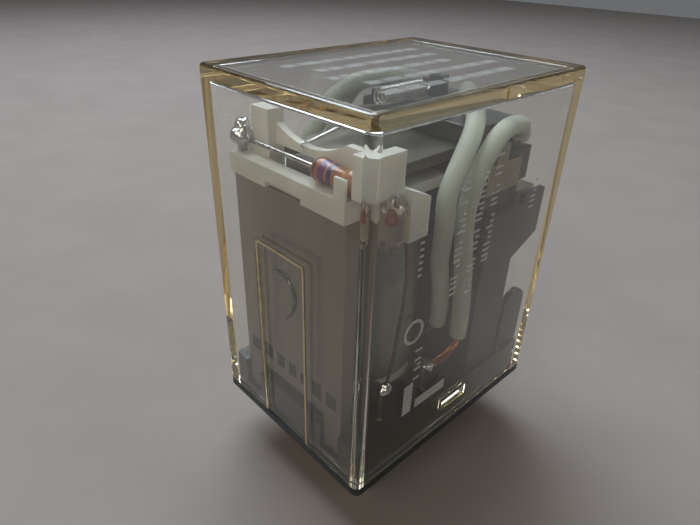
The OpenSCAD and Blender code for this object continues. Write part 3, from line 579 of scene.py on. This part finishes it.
for pole, side, (sleeve_points, foot, tip) in (
    (1, 1, OUTER_LEAD), (2, 1, INNER_LEAD), (3, -1, INNER_LEAD), (4, -1, OUTER_LEAD),
):
    flip = Matrix.Diagonal((1, side, 1))
    route = [flip @ Vector(p) for p in smooth(sleeve_points)]
    whole = [flip @ Vector(p) for p in smooth([tip] + sleeve_points + foot)]
    piece(f"soft_sleeve_{pole}", [hollow_tube(route)], finish["sleeve_plastic"], None,
          [f"sleeve_{pole}"], LEAD_BLEND)
    piece(f"twisted_braid_{pole}", strands(whole), finish["copper_braid"], None,
          [f"braid_{pole}"], LEAD_BLEND)

# %% [markdown]
# ## Return spring
# The spring is a close coil with a hook at each end. The hooks end where the mechanical spring ends, and
# the wire is rounder here.

# %% Return spring
RETURN_START, RETURN_END = -2.4, 3.4
RETURN_Z = 32.3
RETURN_RADIUS = 0.67
RETURN_WIRE = 0.13
RETURN_TURNS = 12
POINTS_PER_TURN = 20
RETURN_BLEND = [(-10, 0, 32), (5.5, 0, 32)]

coil_path = []
for i in range(RETURN_TURNS * POINTS_PER_TURN + 1):
    turn_angle = 2 * math.pi * i / POINTS_PER_TURN
    share = i / (RETURN_TURNS * POINTS_PER_TURN)
    coil_path.append(Vector((
        RETURN_START + share * (RETURN_END - RETURN_START),
        RETURN_RADIUS * math.sin(turn_angle), RETURN_Z - RETURN_RADIUS * math.cos(turn_angle),
    )))
rear_hook = smooth([
    (spring_low.x + RETURN_WIRE, 0, 30.6), (-10.4, 0, 30.95), (-9.4, 0, 31.05),
    (-5.2, 0, RETURN_Z - 0.5), (-3.0, 0, RETURN_Z - RETURN_RADIUS),
])
front_hook = smooth([
    (RETURN_END + 0.4, 0, RETURN_Z - RETURN_RADIUS + 0.1), (spring_high.x - 0.6, 0, RETURN_Z - 0.1),
    (spring_high.x, 0, RETURN_Z),
])
piece(
    "hooked_return_spring", [skin(rings_along(rear_hook + coil_path + front_hook, RETURN_WIRE, WIRE_SIDES))],
    finish["spring_steel"], None, ["return_spring"], RETURN_BLEND,
)

# %% [markdown]
# ## Resistor, lamp and solder
# The resistor has two domed ends and a slight waist. The lamp is a clear resin dome with a flange, a red
# chip inside and a bent wire at its side. Solder never has a regular shape: each joint is a ball that a
# noise pushes in and out, with a bright, nearly mirror-smooth skin.

# %% Resistor and lamp
RESISTOR_PROFILE = [
    (0.0, 0.25), (0.01, 0.6), (0.04, 0.86), (0.09, 0.98), (0.14, 1.0), (0.2, 0.97), (0.26, 0.88),
    (0.34, 0.84), (0.5, 0.84), (0.66, 0.84), (0.74, 0.88), (0.8, 0.97), (0.86, 1.0), (0.91, 0.98),
    (0.96, 0.86), (0.99, 0.6), (1.0, 0.25),
]
LENS_SHARE = 0.92
FLANGE_DEPTH, FLANGE_ROUND = 0.3, 0.05
CHIP_PROFILE = [(0.3, 0.22), (1.0, 0.36), (1.2, 0.2)]

resistor_x = (resistor_low.x + resistor_high.x) / 2
resistor_z = (resistor_low.z + resistor_high.z) / 2
resistor_radius = (resistor_high.z - resistor_low.z) / 2
length = resistor_high.y - resistor_low.y
line = [Vector((resistor_x, resistor_low.y + share * length, resistor_z)) for share, _ in RESISTOR_PROFILE]
radii = [resistor_radius * r for _, r in RESISTOR_PROFILE]
piece(
    "domed_resistor_body", [skin(rings_along(line, radii, ROUND_SIDES))],
    finish["resistor_lacquer"], "relay", ["resistor"],
)

lamp_x, lamp_y = (lamp_low.x + lamp_high.x) / 2, (lamp_low.y + lamp_high.y) / 2
flange = (lamp_high.x - lamp_low.x) / 2
lens = flange * LENS_SHARE
dome_base = lamp_low.z + lens
profile = [
    (lamp_high.z, flange - 0.06), (lamp_high.z - FLANGE_ROUND, flange),
    (lamp_high.z - FLANGE_DEPTH + FLANGE_ROUND, flange), (lamp_high.z - FLANGE_DEPTH, flange - FLANGE_ROUND),
    (lamp_high.z - FLANGE_DEPTH - 0.01, lens),
]
profile += [
    (dome_base - lens * math.sin(angle), max(lens * math.cos(angle), 0.02))
    for angle in [math.radians(10 * k) for k in range(10)]
]
line = [Vector((lamp_x, lamp_y, z)) for z, _ in profile]
piece(
    "domed_lamp_lens", [skin(rings_along(line, [r for _, r in profile], ROUND_SIDES))],
    finish["lamp_red"], "relay", ["indicator_lamp"],
)
chip = [Vector((lamp_x, lamp_y, lamp_high.z - drop)) for drop, _ in CHIP_PROFILE]
red_chip = surface("red_lamp_chip", "#A02024", "#C02A2C", 0.3, (0.3, 0.5), 0.002, 0.1)
piece("lamp_chip", [skin(rings_along(chip, [r for _, r in CHIP_PROFILE], 12))], red_chip, "relay")

# %% Solder
TAIL_WIRE = 0.14
LAMP_WIRE = 0.11


def blob(centre, radius, lump, seed):
    """A ball of points, pushed in and out by a noise, as (points, faces)."""
    ball = bmesh.new()
    bmesh.ops.create_icosphere(ball, subdivisions=3, radius=1)
    shift = Vector((seed, seed * 1.7, 0))
    points = []
    for vertex in ball.verts:
        push = 1 + lump * noise.noise(vertex.co * 1.1 + shift)
        points.append(Vector(centre) + vertex.co * radius * push)
    faces = [tuple(v.index for v in face.verts) for face in ball.faces]
    ball.free()
    return points, faces


post_x, post_y = (post_low.x + post_high.x) / 2, (post_low.y + post_high.y) / 2
wire_tail = smooth([
    (post_x, post_y - 1.2, 30.2), (post_x + 0.1, post_y, 30.9), (post_x + 0.3, post_y + 0.9, 31.4),
    (post_x + 0.9, post_y + 1.1, 31.1), (post_x + 1.2, post_y + 0.5, 30.3),
])
# Place, radius, lumpiness and seed of each joint: two on the post by the resistor's lead, a coil blade and
# an outer common blade on each side, and one on the rear post.
SOLDER_JOINTS = [
    ((post_x, post_y, 30.3), 0.98, 0.35, 3), ((post_x + 0.15, post_y + 0.1, 31.1), 0.66, 0.4, 5),
    ((-8.8, 7.95, 9.2), 0.66, 0.5, 7), ((-2.45, 7.95, 8.3), 0.6, 0.5, 11),
    ((-8.8, -7.95, 9.2), 0.66, 0.5, 9), ((-2.45, -7.95, 8.3), 0.6, 0.5, 13),
    ((-7.5, 8.3, 30.6), 0.7, 0.5, 11),
]
solder_shapes = [blob(*joint) for joint in SOLDER_JOINTS]
solder_shapes.append(skin(rings_along(wire_tail, TAIL_WIRE, WIRE_SIDES)))
piece("solder_beads", solder_shapes, finish["solder"], "relay", ["solder_joints"], sharp=180)

bent = smooth([
    (-11.0, -9.12, 29.3), (-10.5, -9.22, 29.6), (-9.8, -9.25, 29.2), (-9.2, -9.22, 28.5), (-8.9, -9.1, 27.6),
])
piece(
    "bent_lamp_lead", [skin(rings_along(bent, LAMP_WIRE, WIRE_SIDES))],
    finish["tinned_wire"], "relay",
)

# %% [markdown]
# ## Coil leads and tape end
# The two coil leads are fine enamelled wires that sag a little on their way up to the bobbin. The tape
# round the winding ends in a flap, one layer thicker, whose edge catches the light.

# %% Coil leads and tape
COIL_LEAD = [
    (-8.8, -8, 9.6), (-8.7, -8.3, 11), (-8.4, -8.5, 14),
    (-7.8, -8.5, 18.5), (-7.7, -8.5, 21.5), (-8, -8.4, 24.9),
]
COIL_WIRE = 0.16
FLAP_START, FLAP_STEP, FLAP_STEPS = -150, 4, 24
FLAP_SINK, FLAP_RISE, FLAP_EDGE = 0.02, 0.07, 0.02

for number, side in ((1, 1), (2, -1)):
    flip = Matrix.Diagonal((1, side, 1))
    line = [flip @ p for p in smooth(COIL_LEAD)]
    piece(
        f"fine_coil_lead_{number}", [skin(rings_along(line, COIL_WIRE, 12))],
        finish["enamelled_copper"], "relay", [f"coil_lead_{number}"],
    )

tape_x = (tape_low.x + tape_high.x) / 2
tape_radius = (tape_high.x - tape_low.x) / 2
near, far = tape_radius - FLAP_SINK, tape_radius + FLAP_RISE
section = (
    (near, tape_low.z), (far, tape_low.z + FLAP_EDGE), (far, tape_high.z - FLAP_EDGE), (near, tape_high.z),
)
flap = []
for k in range(FLAP_STEPS + 1):
    angle = math.radians(FLAP_START + FLAP_STEP * k)
    direction = Vector((math.cos(angle), math.sin(angle), 0))
    flap.append([Vector((tape_x, 0, z)) + direction * r for r, z in section])
piece("tape_end_flap", [skin(flap)], finish["coil_tape"], "relay")

# %% [markdown]
# ## The clear cover
# One ring of points follows a rectangle with round corners. A row of such rings goes from the inside of
# the top, down the inner wall, over the rim, and up the outer wall to the outside of the top. The inner and
# outer top edges are small quarter rounds and the rim has fine chamfers, because a moulding tool has no
# sharp inside corner. Two latch windows and a shallow panel are then cut away.

# %% Cover
WALL = 1.2
TOP = 1.4
OUTER_CORNER, INNER_CORNER = 0.7, 0.3
TOP_ROUND, INNER_ROUND, RIM_ROUND = 0.35, 0.3, 0.12
WINDOW_LENGTH, WINDOW_HEIGHT, WINDOW_Z = 3.9, 1.3, 3.9
PANEL_WIDTH, PANEL_TOP, PANEL_DEPTH = 6.8, 21.9, 0.2
OVERCUT = 2
CUT_ROUND = 0.06
CUT_ANGLE = math.radians(50)
LEAST_CORNER = 0.04
ROUND_STEPS = 5


def rounded_rectangle(half_x, half_y, radius, z, steps=6):
    """A ring of points round a rectangle with round corners."""
    ring = []
    for quarter, (sign_x, sign_y) in enumerate(((1, 1), (-1, 1), (-1, -1), (1, -1))):
        for k in range(steps + 1):
            angle = math.radians(90 * quarter + 90 * k / steps)
            x = sign_x * (half_x - radius) + radius * math.cos(angle)
            y = sign_y * (half_y - radius) + radius * math.sin(angle)
            ring.append(Vector((x, y, z)))
    return ring


def inset_ring(half_x, half_y, corner, inset, z):
    """The same ring, moved inward all round."""
    return rounded_rectangle(half_x - inset, half_y - inset, max(corner - inset, LEAST_CORNER), z)


def cut_box(low, high):
    """A box for cutting, as an object. Its corners are given in millimetres."""
    mesh = bpy.data.meshes.new("cutter")
    box = bmesh.new()
    bmesh.ops.create_cube(box, size=1)
    for vertex in box.verts:
        place = [(low[i] + high[i]) / 2 + vertex.co[i] * (high[i] - low[i]) for i in range(3)]
        vertex.co = Vector(place) * MM
    box.to_mesh(mesh)
    box.free()
    cutter = bpy.data.objects.new("cutter", mesh)
    bpy.context.scene.collection.objects.link(cutter)
    return cutter


half_x, half_y = cover_high.x, cover_high.y
rim, top = cover_low.z, cover_high.z
quarter_steps = [math.radians(90 * k / ROUND_STEPS) for k in range(ROUND_STEPS + 1)]
inner = [
    inset_ring(half_x - WALL, half_y - WALL, INNER_CORNER, INNER_ROUND * (1 - math.cos(a)),
               top - TOP - INNER_ROUND + INNER_ROUND * math.sin(a))
    for a in quarter_steps[::-1]
]
inner.append(inset_ring(half_x - WALL, half_y - WALL, INNER_CORNER, 0, rim + RIM_ROUND))
under = [inset_ring(half_x - WALL, half_y - WALL, INNER_CORNER, -RIM_ROUND, rim)]
under.append(inset_ring(half_x, half_y, OUTER_CORNER, RIM_ROUND, rim))
outer = [inset_ring(half_x, half_y, OUTER_CORNER, 0, rim + RIM_ROUND)]
outer += [
    inset_ring(half_x, half_y, OUTER_CORNER, TOP_ROUND * (1 - math.cos(a)),
               top - TOP_ROUND + TOP_ROUND * math.sin(a))
    for a in quarter_steps
]
cover = piece("moulded_cover", [skin(inner + under + outer)], finish["clear_polycarbonate"], "cover",
              ["cover"])

cutters = [
    cut_box((-WINDOW_LENGTH / 2, side * half_y - OVERCUT, WINDOW_Z - WINDOW_HEIGHT / 2),
            (WINDOW_LENGTH / 2, side * half_y + OVERCUT, WINDOW_Z + WINDOW_HEIGHT / 2))
    for side in (-1, 1)
]
cutters.append(cut_box(
    (-half_x - OVERCUT, -PANEL_WIDTH / 2, -1), (-half_x + PANEL_DEPTH, PANEL_WIDTH / 2, PANEL_TOP)
))
for cutter in cutters:
    cut = cover.modifiers.new("cut", "BOOLEAN")
    cut.operation = "DIFFERENCE"
    cut.object = cutter
    cut.solver = "EXACT"
edges = cover.modifiers.new("cut_edges", "BEVEL")
edges.width = CUT_ROUND * MM
edges.segments = 2
edges.limit_method = "ANGLE"
edges.angle_limit = CUT_ANGLE
bpy.context.view_layer.update()
shaped = bpy.data.meshes.new_from_object(cover.evaluated_get(bpy.context.evaluated_depsgraph_get()))
cover.modifiers.clear()
cover.data = shaped
for cutter in cutters:
    bpy.data.objects.remove(cutter)
cover.modifiers.new("flat_faces", "WEIGHTED_NORMAL").keep_sharp = True
print("cover", len(cover.data.polygons), "faces")

# %% Painted highlight along the panel edge
PANEL_LINE = 0.34
PANEL_LINE_START = 0.3
# The pale amber strips on the shallow panel's edges are painted highlight. Their colour stands in for the
# light the clear edge catches and the amber seen along it; it is not a scuff.
painted_edge_highlight = surface(
    "painted_highlight_polycarbonate_edge", "#B9A988", "#CDBF9C", 0.8, (0.4, 0.55), 0.01, 0.2, IOR=1.58, Alpha=0.75
)


def slab(low, high):
    """A thin box as (points, faces)."""
    x, y, z = zip(low, high)
    rings = [[Vector((x[i], y[j], z[k])) for i, j in ((0, 0), (1, 0), (1, 1), (0, 1))] for k in (0, 1)]
    return skin(rings)


panel_x = (-half_x, -half_x + PANEL_DEPTH)
edge_strips = [
    slab((panel_x[0], side * PANEL_WIDTH / 2 - PANEL_LINE / 2, rim + PANEL_LINE_START),
         (panel_x[1], side * PANEL_WIDTH / 2 + PANEL_LINE / 2, PANEL_TOP))
    for side in (-1, 1)
]
edge_strips.append(slab((panel_x[0], -PANEL_WIDTH / 2, PANEL_TOP - PANEL_LINE / 2),
                        (panel_x[1], PANEL_WIDTH / 2, PANEL_TOP + PANEL_LINE / 2)))
piece("painted_panel_edge_highlight", edge_strips, painted_edge_highlight, "cover")

# %% [markdown]
# ## Print
# A relay's rating is printed on its cover, and a date is stamped on its yoke. Here the print is only plain
# bars and a ring, in the places and sizes where such print sits, with no letter or sign in it. A fixed
# seed keeps the bars' lengths the same every time.

# %% Print
random.seed(11)
INK = 0.012
BAR = 0.22
BAR_PITCHES = (0.5, 0.6, 0.6, 1.1)
LONG_SHARE = 0.6
TOP_GAP = 0.4
# Middle, width, top and bottom of each column on the wide face.
SIDE_COLUMNS = (
    (1.4, 1.0, 30.4, 19.8), (-0.6, 1.0, 29.3, 17.5), (-3.0, 1.0, 29.0, 17.4), (-8.2, 1.0, 26.4, 22.0),
    (8.3, 0.9, 26.4, 23.6), (-6.9, 0.9, 14.2, 10.4),
)
# Two plain blocks low on the wide face: x and z of their corners.
SIDE_BLOCKS = ((-8.4, 6.8, -7.2, 10.4), (-6.6, 6.8, -2.2, 7.9))
# The plain ring on the wide face: x and z of its middle, outer and inner radius.
SIDE_RING = (-7.9, 16.5, 1.25, 0.95)
TOP_ROWS, TOP_ROW_WIDTH, TOP_SHORTEST, TOP_LONGEST = 5, 1.1, 0.8, 2.4
TOP_FIRST_Y, TOP_PITCH = 4.6, 2.9
TOP_START, TOP_START_SHIFT, TOP_END, TOP_END_SHIFT = -9.4, 1.3, 8.6, 1.1
STAMP_BOTTOM, STAMP_START, STAMP_END, STAMP_GAP = 7.4, 6.6, -5.6, 0.7
STAMP_WIDTHS, STAMP_HEIGHTS = (0.9, 1.5), (1.3, 1.8)
# The dried bead of varnish on the yoke: y and z along it.
DRIP = ((2.4, 18.7), (1.2, 18.9), (-0.2, 18.4), (-0.8, 16.9), (-0.3, 15.3), (0.6, 14.2))
DRIP_RADIUS, DRIP_SWELL = 0.16, 0.12


def side_column(x, width, top_z, bottom_z):
    """Fine bars one under another on the wide face that looks along -Y, with a wider gap now and then."""
    bars, z = [], top_z
    while z > bottom_z:
        start = x - width / 2 if random.random() < LONG_SHARE else x
        bars.append(slab((start, -half_y - INK, z - BAR), (x + width / 2, -half_y + INK, z)))
        z -= random.choice(BAR_PITCHES)
    return bars


def top_row(y, start, end):
    """Bars one after another on the top face."""
    bars, x = [], start
    while x + TOP_SHORTEST < end:
        step = min(random.uniform(TOP_SHORTEST, TOP_LONGEST), end - x)
        bars.append(slab((x, y - TOP_ROW_WIDTH / 2, top - INK), (x + step, y + TOP_ROW_WIDTH / 2, top + INK)))
        x += step + TOP_GAP
    return bars


def flat_ring(x, z, outer_radius, inner_radius):
    """A flat ring of ink on the wide face."""
    rings = []
    for k in range(ROUND_SIDES):
        angle = 2 * math.pi * k / ROUND_SIDES
        direction = Vector((math.cos(angle), 0, math.sin(angle)))
        middle = Vector((x, -half_y, z))
        offset = Vector((0, INK, 0))
        rings.append([
            middle + direction * outer_radius - offset, middle + direction * outer_radius + offset,
            middle + direction * inner_radius + offset, middle + direction * inner_radius - offset,
        ])
    return skin(rings, loop=True)


side_print = [bar for column in SIDE_COLUMNS for bar in side_column(*column)]
side_print.append(flat_ring(*SIDE_RING))
side_print += [slab((a, -half_y - INK, b), (c, -half_y + INK, d)) for a, b, c, d in SIDE_BLOCKS]
piece("side_print_bars", side_print, white_ink, "cover")

top_print = []
for row in range(TOP_ROWS):
    start, end = TOP_START + TOP_START_SHIFT * (row % 2), TOP_END - TOP_END_SHIFT * (row % 3)
    top_print += top_row(TOP_FIRST_Y - TOP_PITCH * row, start, end)
piece("top_print_bars", top_print, faint_ink, "cover")

stamp, y = [], STAMP_START
while y > STAMP_END:
    width = random.uniform(*STAMP_WIDTHS)
    height = random.uniform(*STAMP_HEIGHTS)
    stamp.append(slab(
        (yoke_low.x - INK, y - width, STAMP_BOTTOM), (yoke_low.x + INK, y, STAMP_BOTTOM + height)
    ))
    y -= width + STAMP_GAP
piece("yoke_stamp_bars", stamp, black_ink, "relay")

drip = smooth([(yoke_low.x, y, z) for y, z in DRIP])
radii = [DRIP_RADIUS + DRIP_SWELL * math.sin(math.pi * i / (len(drip) - 1)) for i in range(len(drip))]
piece("varnish_drip", [skin(rings_along(drip, radii, 12))], varnish, "relay")
